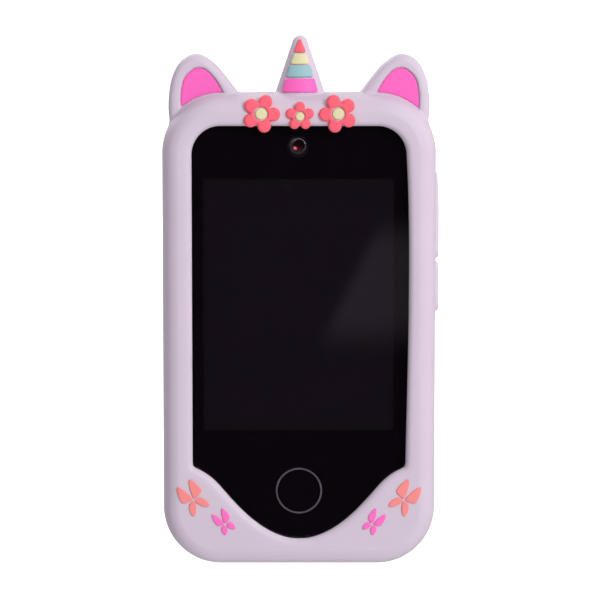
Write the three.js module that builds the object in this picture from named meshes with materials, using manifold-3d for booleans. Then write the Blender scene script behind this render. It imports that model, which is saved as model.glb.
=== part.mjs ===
// A toy cell phone standing in its soft unicorn sleeve, taken apart into the pieces it is made of.
// Millimetres, +Z up, +X to the right of the screen, and the screen faces -Y.
// The origin is under the middle of the sleeve, on the surface that the sleeve stands on.

import * as THREE from "three";
import { mergeVertices } from "three/addons/utils/BufferGeometryUtils.js";
import Module from "manifold-3d";

const wasm = await Module();
wasm.setup();

// ---- Driving dimensions ----

// Soft sleeve: a rounded box with ears and a horn on its top.
const SLEEVE = { half: 31.2, height: 108.4, corner: 13.4, foot: 14.4, front: -8, back: 8, edge: 3.4 };
const LIP_BACK = -6.2;
const CAVITY = { half: 28.2, low: 3.2, high: 105.2, corner: 10.4, back: 6.2 };

// Screen opening in the sleeve's front: a smile below two sides, of which the soft right one bows out.
const OPENING = { half: 24.4, top: 101.3, corner: 6.6, side: 24.4, shoulder: 22.75, bottom: 6.3 };
const BOW = [[0.25, 40], [1.35, 74]];
const SMILE = {
  bow: 8.35,
  below: [15.03, 15.1],
  knee: [18.2, 18.68],
  above: [19.73, 20.42],
  crest: [21.35, 21.7],
};

// Hard phone inside the sleeve.
const PHONE = { half: 28, low: 3.4, high: 105, corner: 10.2, front: -6, back: 6, wall: 1.4 };
const SEAM = { frame: -2.2, shell: -2 };
const LENS_STEP = { margin: 1.1, front: -4.85 };
const FRAME_RING = 2.6;
const GAP = 0.3;

// Display stack behind the cover lens.
const LENS = { inset: 1.3, front: -6, back: -4.9 };
const INK = { inset: 2.8, front: -4.7, back: -4.55 };
const DISPLAY = { half: 21.6, low: 31.4, high: 89, window: 0.2 };
const MODULE = { half: 25, low: 23.3, high: 92.5, front: -4.4, back: -2 };
const HOME = { z: 17.2, radius: 5.3, stroke: 0.4, front: -4.85, back: -4.75 };
const FRONT_CAMERA = { z: 96.55, hole: 2.67, barrel: 1.86, bore: 1.3 };

// Boards and what stands on them.
const BOARD = { half: 24.6, low: 6, high: 102.5, corner: 6, front: -1.7, back: -0.7 };
const BATTERY = { half: 17, low: 26, high: 76, front: -0.4, back: 4 };
const SPEAKER = { x: -13.5, z: 16, radius: 7.5, front: 0.6, back: 4.6 };
const SLOTS = { count: 3, pitch: 3.2, height: 1.5, width: 11 };
const USB = { y: 1.1, width: 9, depth: 3.2, low: 3.6, high: 10.6 };
const JACK = { x: 14, y: 2, bore: 3.5, width: 6.5, high: 17 };
const CARD = { length: 15, width: 11, low: 82, outer: -27.7, front: 0.05, back: 0.8 };
const CARD_WAY = { front: -2.05, back: 2.95, reach: 2.2, corner: 2.4 };
const REAR_CAMERA = { x: 16, z: 94, half: 4, window: 4, barrel: 3 };
const FLASH = { x: 16, z: 84.5, radius: 1.6 };
const CAMERA_WAY = { low: 79, high: 99, half: 5.5, corner: 5.4 };
const SCREW = { x: 22, low: 8.5, high: 99.9, shank: 0.8, head: 1.5, boss: 2.4 };

// Side keys: a hard key in the phone under a soft pad in the sleeve.
const KEY_Y = 0.6;
const KEYS = [
  { name: "volume", z: 80.65, pad: 9.55, cap: 8.05, switches: [["volume_up", 6], ["volume_down", -6]] },
  { name: "power", z: 63.95, pad: 5.15, cap: 3.55, switches: [["power", 0]] },
];
const PAD = { inner: 28.9, outer: 32, depth: 2.5, round: 1.1 };
const CAP = { inner: 25.9, outer: 28.7, depth: 1.6, flange: 25.5, flangeBack: 26.1 };

// Ears and horn. The outlines are drawn for the right ear, which the left one mirrors.
const EAR = { front: -3.4, back: 2.6, edge: 1.7, recess: 0.5, pocket: 1.4 };
const EAR_OUTLINE = [
  [29.3, 100.4], [29.75, 105.5], [29.15, 111], [27.65, 114.7], [25.6, 116.6],
  [23.6, 117.2], [21.7, 116.75], [18.95, 114.75], [16.25, 111.55], [13.1, 107.4],
];
const INLAY_SIDE = [
  [27, 104.9], [27, 108.3], [26.25, 111.75], [24.4, 113.75], [22.9, 114.2],
  [21.3, 113.7], [19.3, 111.6], [17.6, 108.75],
];
const INLAY_ARC = { x: 17.8, z: 95, radius: 13.4, from: 1.57, to: 0.83 };
const INLAY_GAP = 0.12;
const HORN = { tip: 121.5, radius: 1.7, slope: 0.338, base: 106, flatness: 0.75, x: 0.22, y: -0.4 };
const BAND = { lift: 0.5, gap: 0.06 };
const BANDS = [
  { name: "pink", low: 108.8, high: 111.8, wide: 4.05, narrow: 3.4 },
  { name: "teal", low: 112.2, high: 114.75, wide: 2.98, narrow: 2.45 },
  { name: "yellow", low: 115.1, high: 117.5, wide: 2.08, narrow: 1.4 },
  { name: "coral", low: 117.75, high: 120.7, wide: 1.28, narrow: 0.32 },
];

// Flowers across the top, and butterflies in the lower corners.
const FLOWER_FRONT = -9;
const FLOWER_BACK = -8.05;
const FLOWERS = [
  { name: "left", x: -8.6, z: 104.3, size: 1, turn: -3 },
  { name: "middle", x: 0.2, z: 103.7, size: 0.74, turn: 18 },
  { name: "right", x: 8.85, z: 104.3, size: 1, turn: 39 },
];
const PETAL = { count: 5, radius: 1.58, reach: 2.85, hub: 2.6, hole: 1.65, centre: 1.35 };
const WING_FRONT = -8.4;
const WING_BACK = -8.05;
const BIG_WINGS = {
  upper: [
    [1.7, 4.46], [2.2, 3.9], [2.58, 2.35], [2.6, 0.9], [1.9, 0.42], [0.5, 0.24], [0.2, 0.75],
    [0.62, 2.65], [1.2, 4.05],
  ],
  lower: [
    [0.42, -0.26], [1.25, -0.36], [1.95, -1.1], [2.28, -2.3], [2.1, -3.02], [1.45, -2.9],
    [0.62, -1.85], [0.2, -0.8],
  ],
};
const SMALL_WINGS = {
  upper: [
    [1.2, 3.38], [1.65, 2.95], [1.9, 1.75], [1.75, 0.85], [1.2, 0.45], [0.38, 0.34], [0.16, 0.8],
    [0.44, 2.3], [0.85, 3.2],
  ],
  lower: [
    [0.42, -0.18], [1.05, -0.18], [1.5, -0.8], [1.42, -1.6], [1, -2], [0.55, -1.8], [0.22, -0.95],
  ],
};
const BUTTERFLIES = [
  { name: "big", x: 24.05, z: 15.6, wings: BIG_WINGS, color: "salmon" },
  { name: "small", x: 16.85, z: 9.75, wings: SMALL_WINGS, color: "rose" },
];
const BUTTERFLY_TILT = 33;

// ---- Materials ----

const FINISHES = {
  lavender: { color: 0xd4c6d6, roughness: 0.6, metalness: 0 },
  pink: { color: 0xff6cc4, roughness: 0.6, metalness: 0 },
  coral: { color: 0xff6a7d, roughness: 0.6, metalness: 0 },
  yellow: { color: 0xe4ddaf, roughness: 0.6, metalness: 0 },
  teal: { color: 0x9cc2ca, roughness: 0.6, metalness: 0 },
  salmon: { color: 0xf99090, roughness: 0.6, metalness: 0 },
  rose: { color: 0xff78ca, roughness: 0.6, metalness: 0 },
  clear: { color: 0x202024, roughness: 0.05, metalness: 0, transparent: true, opacity: 0.3 },
  ink: { color: 0x0e080f, roughness: 0.3, metalness: 0 },
  screen: { color: 0x1a121b, roughness: 0.2, metalness: 0 },
  print: { color: 0x5a505f, roughness: 0.5, metalness: 0 },
  housing: { color: 0xb9a9cf, roughness: 0.45, metalness: 0 },
  black: { color: 0x141416, roughness: 0.5, metalness: 0 },
  board: { color: 0x1d5a34, roughness: 0.5, metalness: 0 },
  foil: { color: 0x8f9298, roughness: 0.4, metalness: 0.6 },
  steel: { color: 0xc4c6ca, roughness: 0.3, metalness: 1 },
  amber: { color: 0xc48a2c, roughness: 0.4, metalness: 0 },
  lamp: { color: 0xf2eecb, roughness: 0.2, metalness: 0 },
};

// ---- Solids ----

// The way an outline's own axes and its depth lie in space, for each direction of depth.
const LAY = {
  x: [[0, 1, 0], [0, 0, 1], [1, 0, 0]],
  y: [[1, 0, 0], [0, 0, 1], [0, -1, 0]],
  z: [[1, 0, 0], [0, 1, 0], [0, 0, 1]],
};

// A closed geometry as a solid that can be cut and joined.
function solid(geometry) {
  const bare = new THREE.BufferGeometry();
  bare.setAttribute("position", geometry.getAttribute("position"));
  bare.setIndex(geometry.index);
  const merged = mergeVertices(bare, 1e-4);
  const corners = merged.index.array;
  const kept = [];
  for (let i = 0; i < corners.length; i += 3) {
    const [a, b, c] = corners.slice(i, i + 3);
    if (a !== b && b !== c && c !== a) kept.push(a, b, c);
  }
  return new wasm.Manifold(new wasm.Mesh({
    numProp: 3,
    vertProperties: new Float32Array(merged.getAttribute("position").array),
    triVerts: new Uint32Array(kept),
  }));
}

// An outline given depth along an axis. Outlines are drawn in (y, z), (x, z) or (x, y).
function extrude(shape, axis, from, to, { edge = 0, edgeSteps = 1, curve = 4 } = {}) {
  const geometry = new THREE.ExtrudeGeometry(shape, {
    depth: to - from - 2 * edge,
    bevelEnabled: edge > 0,
    bevelThickness: edge,
    bevelSize: edge,
    bevelOffset: -edge,
    bevelSegments: edgeSteps,
    curveSegments: curve,
  });
  const [right, up, deep] = LAY[axis].map((v) => new THREE.Vector3(...v));
  geometry.applyMatrix4(new THREE.Matrix4().makeBasis(right, up, deep));
  const start = axis === "y" ? to - edge : from + edge;
  geometry.translate(...["x", "y", "z"].map((name) => (name === axis ? start : 0)));
  return solid(geometry);
}

function box([x0, x1], [y0, y1], [z0, z1]) {
  const geometry = new THREE.BoxGeometry(x1 - x0, y1 - y0, z1 - z0);
  geometry.translate((x0 + x1) / 2, (y0 + y1) / 2, (z0 + z1) / 2);
  return solid(geometry);
}

// A rectangle with round corners, whose lower two may have their own radius.
function rounded(x0, x1, z0, z1, r, low = r) {
  const shape = new THREE.Shape();
  shape.absarc(x1 - r, z1 - r, r, 0, Math.PI / 2);
  shape.absarc(x0 + r, z1 - r, r, Math.PI / 2, Math.PI);
  shape.absarc(x0 + low, z0 + low, low, Math.PI, Math.PI * 1.5);
  shape.absarc(x1 - low, z0 + low, low, Math.PI * 1.5, Math.PI * 2);
  return shape;
}

function disc(x, z, r) {
  const shape = new THREE.Shape();
  shape.absarc(x, z, r, 0, Math.PI * 2);
  return shape;
}

function cylinder(axis, x, z, r, from, to, curve = 8) {
  return extrude(disc(x, z, r), axis, from, to, { curve });
}

function joined(first, ...rest) {
  return rest.reduce((sum, piece) => sum.add(piece), first);
}

function cut(first, ...rest) {
  return rest.reduce((left, piece) => left.subtract(piece), first);
}

function mirrored(points, side) {
  return points.map(([x, z]) => new THREE.Vector2(side * x, z));
}

// ---- Scene graph ----

const phone = new THREE.Group();

// Adds a named mesh of one solid to a group.
function add(group, name, piece, finish) {
  const { numProp, vertProperties, triVerts } = piece.getMesh();
  const positions = new Float32Array((vertProperties.length / numProp) * 3);
  for (let i = 0; i < positions.length / 3; i += 1) {
    positions.set(vertProperties.subarray(i * numProp, i * numProp + 3), i * 3);
  }
  const geometry = new THREE.BufferGeometry();
  geometry.setAttribute("position", new THREE.BufferAttribute(positions, 3));
  geometry.setIndex(new THREE.BufferAttribute(new Uint32Array(triVerts), 1));
  geometry.computeVertexNormals();
  const mesh = new THREE.Mesh(geometry, new THREE.MeshStandardMaterial(FINISHES[finish]));
  mesh.name = name;
  group.add(mesh);
}

function subgroup() {
  const group = new THREE.Group();
  phone.add(group);
  return group;
}

// ---- Soft sleeve ----

function openingOutline() {
  const { half, top, corner, side, shoulder, bottom } = OPENING;
  const { bow, knee, below, above, crest } = SMILE;
  const edge = half - 0.7;
  const shape = new THREE.Shape();
  shape.moveTo(0, bottom);
  shape.bezierCurveTo(bow, bottom, ...below, ...knee);
  shape.bezierCurveTo(...above, ...crest, edge, shoulder);
  shape.quadraticCurveTo(half, shoulder + 0.35, half, side);
  const [[lowBow, lowZ], [highBow, highZ]] = BOW;
  shape.bezierCurveTo(half + lowBow, lowZ, half + highBow, highZ, half, top - corner);
  shape.absarc(half - corner, top - corner, corner, 0, Math.PI / 2);
  shape.absarc(corner - half, top - corner, corner, Math.PI / 2, Math.PI);
  shape.lineTo(-half, side);
  shape.quadraticCurveTo(-half, shoulder + 0.35, -edge, shoulder);
  shape.bezierCurveTo(-crest[0], crest[1], -above[0], above[1], -knee[0], knee[1]);
  shape.bezierCurveTo(-below[0], below[1], -bow, bottom, 0, bottom);
  return shape;
}

function earSolid(side) {
  const shape = new THREE.Shape();
  const [start, ...rest] = mirrored(EAR_OUTLINE, side);
  shape.moveTo(start.x, start.y);
  shape.splineThru(rest);
  shape.lineTo(side * 18, 100);
  return extrude(shape, "y", EAR.front, EAR.back, { edge: EAR.edge, edgeSteps: 2, curve: 2 });
}

// The ear's inlay: up one side, over the top, down the other, and back along the sleeve's corner.
function inlayOutline(side, grow) {
  const { x, z, radius, from, to } = INLAY_ARC;
  const middle = [22.6, 109.3];
  const swell = ([px, pz]) => {
    const reach = Math.hypot(px - middle[0], pz - middle[1]);
    const scale = (reach + grow) / reach;
    return [middle[0] + (px - middle[0]) * scale, middle[1] + (pz - middle[1]) * scale];
  };
  const shape = new THREE.Shape();
  const [start, ...rest] = mirrored(INLAY_SIDE.map(swell), side);
  shape.moveTo(start.x, start.y);
  shape.splineThru(rest);
  const arc = [0.15, 0.4, 0.65, 0.9].map((t) => {
    const angle = from + (to - from) * t;
    return [x + (radius - grow) * Math.cos(angle), z + (radius - grow) * Math.sin(angle)];
  });
  shape.splineThru(mirrored(arc, side));
  return shape;
}

// A rounded cone, a little flattened from front to back. grow makes it thicker all round.
function hornSolid(grow) {
  const { tip, slope, base, flatness, x, y } = HORN;
  const radius = HORN.radius + grow;
  const centre = tip - HORN.radius;
  const lean = Math.atan(slope);
  const profile = [];
  for (let i = 0; i <= 4; i += 1) {
    const angle = Math.PI / 2 - (i / 4) * (Math.PI / 2 - lean);
    profile.push(new THREE.Vector2(radius * Math.cos(angle), centre + radius * Math.sin(angle)));
  }
  const flank = radius / Math.cos(lean) + (centre - base) * slope;
  profile.push(new THREE.Vector2(flank, base), new THREE.Vector2(0, base));
  const geometry = new THREE.LatheGeometry(profile.reverse(), 20);
  geometry.rotateX(Math.PI / 2);
  geometry.scale(1, flatness, 1);
  geometry.translate(x, y, 0);
  return solid(geometry);
}

function sleeveBody() {
  const { half, height, corner, foot, front, back, edge } = SLEEVE;
  const outline = rounded(-half, half, 0, height, corner, foot);
  const outer = extrude(outline, "y", front, back, { edge, edgeSteps: 3 });
  return joined(outer, earSolid(1), earSolid(-1), hornSolid(0));
}

function sleeveCuts() {
  const { half, low, high, corner, back } = CAVITY;
  const cuts = [
    extrude(rounded(-half, half, low, high, corner), "y", LIP_BACK, back),
    extrude(openingOutline(), "y", SLEEVE.front - 1, LIP_BACK + 1, { curve: 6 }),
    extrude(rounded(-6, 6, USB.y - 3.25, USB.y + 3.25, 3.2), "z", -1, low + 1),
    cylinder("z", JACK.x, JACK.y, 4, -1, low + 1),
    cylinder("z", 7.5, 0, 0.7, -1, low + 1, 4),
    extrude(cameraWay(), "y", back - 1, SLEEVE.back + 1),
    extrude(cardWay(), "x", -SLEEVE.half - 1, 1 - half),
  ];
  for (const key of KEYS) {
    const reach = key.pad + GAP;
    const deep = PAD.depth + GAP;
    const window = rounded(KEY_Y - deep, KEY_Y + deep, key.z - reach, key.z + reach, PAD.round + GAP);
    cuts.push(extrude(window, "x", half - 1, SLEEVE.half + 1));
  }
  for (const side of [1, -1]) {
    const pocket = inlayOutline(side, INLAY_GAP);
    cuts.push(extrude(pocket, "y", EAR.front - 1, EAR.front + EAR.pocket, { curve: 2 }));
  }
  return cuts.concat(speakerSlots(back - 1, SLEEVE.back + 1, 1));
}

function cameraWay() {
  const { low, high, half, corner } = CAMERA_WAY;
  return rounded(REAR_CAMERA.x - half, REAR_CAMERA.x + half, low, high, corner);
}

function cardWay() {
  const { front, back, reach, corner } = CARD_WAY;
  return rounded(front, back, CARD.low - reach, CARD.low + CARD.width + reach, corner);
}

function speakerSlots(from, to, grow) {
  const wide = (SLOTS.width + grow) / 2;
  const high = (SLOTS.height + grow * 0.3) / 2;
  const slots = [];
  for (let i = 0; i < SLOTS.count; i += 1) {
    const z = SPEAKER.z + (i - (SLOTS.count - 1) / 2) * SLOTS.pitch;
    const outline = rounded(SPEAKER.x - wide, SPEAKER.x + wide, z - high, z + high, high * 0.95);
    slots.push(extrude(outline, "y", from, to, { curve: 3 }));
  }
  return slots;
}

function flower({ name, x, z, size, turn }) {
  const petals = [];
  for (let i = 0; i < PETAL.count; i += 1) {
    const angle = THREE.MathUtils.degToRad(turn + (i * 360) / PETAL.count);
    const px = x + PETAL.reach * size * Math.cos(angle);
    const pz = z + PETAL.reach * size * Math.sin(angle);
    petals.push(cylinder("y", px, pz, PETAL.radius * size, FLOWER_FRONT, FLOWER_BACK, 5));
  }
  const hub = cylinder("y", x, z, PETAL.hub * size, FLOWER_FRONT, FLOWER_BACK, 8);
  const hole = cylinder("y", x, z, PETAL.hole * size, FLOWER_FRONT - 1, FLOWER_BACK + 1, 7);
  add(sleeve, `flower_${name}_petals`, cut(joined(hub, ...petals), hole), "coral");
  const centre = cylinder("y", x, z, PETAL.centre * size, FLOWER_FRONT + 0.1, FLOWER_BACK, 7);
  add(sleeve, `flower_${name}_centre`, centre, "yellow");
}

// One wing of a butterfly: across is 1 or -1 for its two halves, side is the corner of the sleeve.
function wing(outline, butterfly, side, across) {
  const tilt = THREE.MathUtils.degToRad(BUTTERFLY_TILT) * -side;
  const { x, z } = butterfly;
  const placed = outline.map(([u, v]) => {
    const a = u * across;
    const along = a * Math.cos(tilt) - v * Math.sin(tilt);
    return new THREE.Vector2(side * x + along, z + a * Math.sin(tilt) + v * Math.cos(tilt));
  });
  const shape = new THREE.Shape();
  shape.moveTo(placed[0].x, placed[0].y);
  shape.splineThru([...placed.slice(1), placed[0]]);
  return extrude(shape, "y", WING_FRONT, WING_BACK, { curve: 2 });
}

const sleeve = subgroup();
add(sleeve, "case_shell", cut(sleeveBody(), ...sleeveCuts()), "lavender");

for (const [sideName, side] of [["left", -1], ["right", 1]]) {
  const front = EAR.front + EAR.recess;
  const inlay = extrude(inlayOutline(side, 0), "y", front, EAR.front + EAR.pocket - 0.1, { curve: 2 });
  add(sleeve, `ear_inlay_${sideName}`, inlay, "pink");
  for (const butterfly of BUTTERFLIES) {
    for (const [level, outline] of Object.entries(butterfly.wings)) {
      for (const [halfName, across] of [["inner", -side], ["outer", side]]) {
        const name = `butterfly_${butterfly.name}_${sideName}_${level}_${halfName}`;
        add(sleeve, name, wing(outline, butterfly, side, across), butterfly.color);
      }
    }
  }
}

for (const { name, low, high, wide, narrow } of BANDS) {
  const shape = new THREE.Shape();
  shape.moveTo(HORN.x - wide, low);
  shape.lineTo(HORN.x + wide, low);
  shape.lineTo(HORN.x + narrow, high);
  shape.lineTo(HORN.x - narrow, high);
  const block = extrude(shape, "y", SLEEVE.front, HORN.y - 0.5);
  const shell = cut(hornSolid(BAND.lift), hornSolid(BAND.gap));
  add(sleeve, `horn_band_${name}`, shell.intersect(block), name);
}

FLOWERS.forEach(flower);

// ---- Hard housing ----

// The phone's outline, brought in by inset all round.
function phoneOutline(inset) {
  const { half, low, high, corner } = PHONE;
  return rounded(inset - half, half - inset, low + inset, high - inset, corner - inset);
}

const SCREWS = [
  ["top_left", -SCREW.x, SCREW.high],
  ["top_right", SCREW.x, SCREW.high],
  ["bottom_left", -SCREW.x, SCREW.low],
  ["bottom_right", SCREW.x, SCREW.low],
];

function frontFrame() {
  const edge = 0.6;
  const block = extrude(phoneOutline(0), "y", PHONE.front, SEAM.frame + 2 * edge, { edge });
  const behind = box([-40, 40], [SEAM.frame, SEAM.frame + 5], [-5, 120]);
  const seat = extrude(phoneOutline(LENS_STEP.margin), "y", PHONE.front - 1, LENS_STEP.front);
  const inside = extrude(phoneOutline(FRAME_RING), "y", LENS_STEP.front - 1, SEAM.frame + 1);
  const ring = cut(block, behind, seat, inside);
  const bosses = SCREWS.map(([, x, z]) => cylinder("y", x, z, SCREW.boss, MODULE.front, SEAM.frame, 5));
  const pilot = SCREW.shank + 0.15;
  const pilots = SCREWS.map(([, x, z]) => cylinder("y", x, z, pilot, MODULE.front + 0.3, 0, 4));
  return cut(joined(ring, ...bosses), ...pilots);
}

function rearShell() {
  const edge = 1.4;
  const { back, wall, half, low } = PHONE;
  const block = extrude(phoneOutline(0), "y", SEAM.shell - 2 * edge, back, { edge });
  const ahead = box([-40, 40], [SEAM.shell - 5, SEAM.shell], [-5, 120]);
  const hollow = extrude(phoneOutline(wall), "y", SEAM.shell - 5, back - 1.2);
  const bosses = SCREWS.map(([, x, z]) => cylinder("y", x, z, SCREW.boss, SEAM.shell + 0.05, back - 1, 5));
  const cuts = [
    extrude(rounded(-4.8, 4.8, USB.y - 1.9, USB.y + 1.9, 1.8), "z", low - 1, low + wall + 0.5),
    cylinder("z", JACK.x, JACK.y, 2.8, low - 1, low + wall + 0.5),
    cylinder("z", 7.5, 0, 0.5, low - 1, low + wall + 0.5, 4),
    cylinder("y", REAR_CAMERA.x, REAR_CAMERA.z, REAR_CAMERA.window + 0.2, back - 2, back + 1, 10),
    cylinder("y", FLASH.x, FLASH.z, FLASH.radius + GAP, back - 2, back + 1, 6),
    box([-half - 1, wall + 0.5 - half], [CARD.front - 0.25, CARD.back + 0.25], cardSpan(GAP)),
    ...speakerSlots(back - 2, back + 1, 0),
  ];
  for (const key of KEYS) {
    const reach = key.cap + GAP;
    const deep = CAP.depth + GAP;
    const window = rounded(KEY_Y - deep, KEY_Y + deep, key.z - reach, key.z + reach, 1.2);
    cuts.push(extrude(window, "x", half - wall - 0.5, half + 1));
  }
  for (const [, x, z] of SCREWS) {
    cuts.push(cylinder("y", x, z, SCREW.shank + 0.2, SEAM.shell - 1, back, 4));
    cuts.push(cylinder("y", x, z, SCREW.head + 0.3, back - 1.8, back + 1, 5));
  }
  return cut(joined(cut(block, ahead, hollow), ...bosses), ...cuts);
}

function cardSpan(gap) {
  return [CARD.low - gap, CARD.low + CARD.width + gap];
}

function screw(x, z) {
  const { shank, head } = SCREW;
  const top = PHONE.back - 0.4;
  const body = joined(
    cylinder("y", x, z, shank, MODULE.front + 0.4, top - 1, 4),
    cylinder("y", x, z, head, top - 1.2, top, 5),
  );
  const slot = 0.2;
  return cut(
    body,
    box([x - 0.9, x + 0.9], [top - 0.5, top + 1], [z - slot, z + slot]),
    box([x - slot, x + slot], [top - 0.5, top + 1], [z - 0.9, z + 0.9]),
  );
}

const housing = subgroup();
add(housing, "front_frame", frontFrame(), "housing");
add(housing, "rear_shell", rearShell(), "housing");
for (const [place, x, z] of SCREWS) {
  add(housing, `screw_${place}`, screw(x, z), "steel");
}

// ---- Side keys and their switches ----

const keys = subgroup();
for (const { name, z, pad, cap, switches } of KEYS) {
  const across = (deep, reach, r) => rounded(KEY_Y - deep, KEY_Y + deep, z - reach, z + reach, r);
  const soft = joined(
    extrude(across(PAD.depth, pad, PAD.round), "x", PAD.inner + 1, PAD.outer, { edge: 0.5, curve: 3 }),
    extrude(across(PAD.depth, pad, PAD.round), "x", PAD.inner, PAD.inner + 2, { curve: 3 }),
  );
  add(keys, `${name}_pad`, soft, "lavender");
  const hard = joined(
    extrude(across(CAP.depth, cap, 1), "x", CAP.inner, CAP.outer, { curve: 3 }),
    box([CAP.flange, CAP.flangeBack], [KEY_Y - 2.3, KEY_Y + 2.3], [z - cap - 0.85, z + cap + 0.85]),
  );
  add(keys, `${name}_key`, hard, "housing");
  for (const [label, offset] of switches) {
    const middle = z + offset;
    const body = joined(
      box([22.4, 24.5], [KEY_Y - 1.2, KEY_Y + 1.2], [middle - 1.9, middle + 1.9]),
      box([24.4, 24.95], [KEY_Y - 0.6, KEY_Y + 0.6], [middle - 0.9, middle + 0.9]),
    );
    add(keys, `${label}_switch`, body, "black");
  }
}

// ---- Display stack ----

const face = subgroup();
const lens = extrude(phoneOutline(LENS.inset), "y", LENS.front, LENS.back, { edge: 0.25 });
add(face, "cover_lens", lens, "clear");

const { half: viewHalf, window: rim } = DISPLAY;
const inkWindow = box([-viewHalf - rim, viewHalf + rim], [-8, 0], [DISPLAY.low - rim, DISPLAY.high + rim]);
const ink = cut(
  extrude(phoneOutline(INK.inset), "y", INK.front, INK.back),
  inkWindow,
  cylinder("y", 0, FRONT_CAMERA.z, FRONT_CAMERA.hole, -8, 0, 12),
);
add(face, "ink_mask", ink, "ink");

const ring = cut(
  cylinder("y", 0, HOME.z, HOME.radius, HOME.front, HOME.back, 14),
  cylinder("y", 0, HOME.z, HOME.radius - HOME.stroke, HOME.front - 1, HOME.back + 1, 14),
);
add(face, "home_ring", ring, "print");

const display = extrude(
  rounded(-MODULE.half, MODULE.half, MODULE.low, MODULE.high, 0.8),
  "y",
  MODULE.front,
  MODULE.back,
  { curve: 2 },
);
add(face, "display_module", display, "screen");

const ribbonTop = MODULE.low - GAP;
const ribbonOutline = [
  [-3.2, ribbonTop], [-3.2, 19.5], [-2, 17.8], [-2, 12.5],
  [-1.8, 12.5], [-1.8, 17.9], [-3, 19.6], [-3, ribbonTop],
];
const ribbon = new THREE.Shape(ribbonOutline.map(([y, z]) => new THREE.Vector2(y, z)));
add(face, "display_flex", extrude(ribbon, "x", -8, 8), "amber");

// ---- Electronics ----

const works = subgroup();
const boardHoles = SCREWS.map(([, x, z]) => cylinder("y", x, z, SCREW.boss + GAP, -5, 5, 6));
const boardOutline = rounded(-BOARD.half, BOARD.half, BOARD.low, BOARD.high, BOARD.corner);
const board = extrude(boardOutline, "y", BOARD.front, BOARD.back);
add(works, "main_board", cut(board, ...boardHoles), "board");

const cell = extrude(
  rounded(-BATTERY.half, BATTERY.half, BATTERY.low, BATTERY.high, 1.2),
  "y",
  BATTERY.front,
  BATTERY.back,
  { edge: 0.6, curve: 2 },
);
add(works, "battery", cell, "foil");

const { x: sx, z: sz, radius: sr } = SPEAKER;
const driver = cut(
  cylinder("y", sx, sz, sr, SPEAKER.front, SPEAKER.back, 12),
  cylinder("y", sx, sz, sr - 1, SPEAKER.back - 0.6, SPEAKER.back + 1, 12),
);
const dome = cylinder("y", sx, sz, sr * 0.45, SPEAKER.back - 1, SPEAKER.back - 0.2, 8);
add(works, "speaker", joined(driver, dome), "black");

const { z: cameraZ, barrel, bore } = FRONT_CAMERA;
const selfie = cut(
  joined(
    box([-3.2, 3.2], [-3.9, -1.9], [cameraZ - 2.9, cameraZ + 2.9]),
    cylinder("y", 0, cameraZ, barrel, -4.5, -3.8, 10),
  ),
  cylinder("y", 0, cameraZ, bore, -6, -3.9, 8),
);
add(works, "front_camera", selfie, "black");
add(works, "front_camera_lens", cylinder("y", 0, cameraZ, bore - 0.1, -4.4, -3.95, 8), "clear");

const { x: cx, z: cz, half: ch } = REAR_CAMERA;
const rear = cut(
  joined(
    box([cx - ch, cx + ch], [-0.4, 3.6], [cz - ch, cz + ch]),
    cylinder("y", cx, cz, REAR_CAMERA.barrel, 3.5, 4.9, 10),
  ),
  cylinder("y", cx, cz, 1.6, 4.1, 6, 8),
);
add(works, "rear_camera", rear, "black");
add(works, "rear_camera_window", cylinder("y", cx, cz, REAR_CAMERA.window, 5.1, 5.95, 12), "clear");
add(works, "flash_led", cylinder("y", FLASH.x, FLASH.z, FLASH.radius, -0.4, 5.9, 6), "lamp");

const stadium = (x, y, width, depth) =>
  rounded(x - width / 2, x + width / 2, y - depth / 2, y + depth / 2, depth * 0.49);
const socket = joined(
  cut(
    extrude(stadium(0, USB.y, USB.width, USB.depth), "z", USB.low, USB.high),
    extrude(stadium(0, USB.y, USB.width - 0.7, USB.depth - 0.7), "z", USB.low - 1, USB.high - 1),
  ),
  box([-3.3, 3.3], [USB.y - 0.35, USB.y + 0.35], [USB.low + 0.9, USB.high - 0.5]),
);
add(works, "usb_socket", socket, "steel");

const jack = cut(
  joined(
    box([JACK.x - JACK.width / 2, JACK.x + JACK.width / 2], [-0.5, 4.5], [5.1, JACK.high]),
    cylinder("z", JACK.x, JACK.y, 2.45, 3.6, 5.5),
  ),
  cylinder("z", JACK.x, JACK.y, JACK.bore / 2, 2, JACK.high - 1),
);
add(works, "audio_jack", jack, "black");

const holder = cut(
  box([-26.2, -11.7], [-0.5, 1.3], cardSpan(1.5)),
  box([-30, CARD.outer + CARD.length + 0.4], [CARD.front - 0.1, CARD.back + 0.1], cardSpan(0.2)),
);
add(works, "card_socket", holder, "steel");

const [cardLow, cardHigh] = cardSpan(0);
const cardEnd = CARD.outer + CARD.length;
const cardShape = new THREE.Shape();
cardShape.moveTo(CARD.outer, cardLow);
cardShape.lineTo(cardEnd - 0.8, cardLow);
cardShape.lineTo(cardEnd, cardLow + 0.8);
cardShape.lineTo(cardEnd, cardHigh - 2);
cardShape.lineTo(cardEnd - 5, cardHigh - 1.3);
cardShape.lineTo(cardEnd - 6.5, cardHigh);
cardShape.lineTo(CARD.outer, cardHigh);
add(works, "memory_card", extrude(cardShape, "y", CARD.front, CARD.back), "black");

const microphone = box([5.8, 9.2], [-0.6, 0.6], [6.2, 8.8]);
add(works, "microphone", microphone, "steel");

export default phone;
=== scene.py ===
"""Looks of the toy cell phone in its soft unicorn sleeve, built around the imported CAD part.

Shapes are worked out in millimetres as signed distances (negative inside), meshed, and scaled to metres.
+Z is up, the screen faces -Y, and x, z run across the front.
"""

import math

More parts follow.
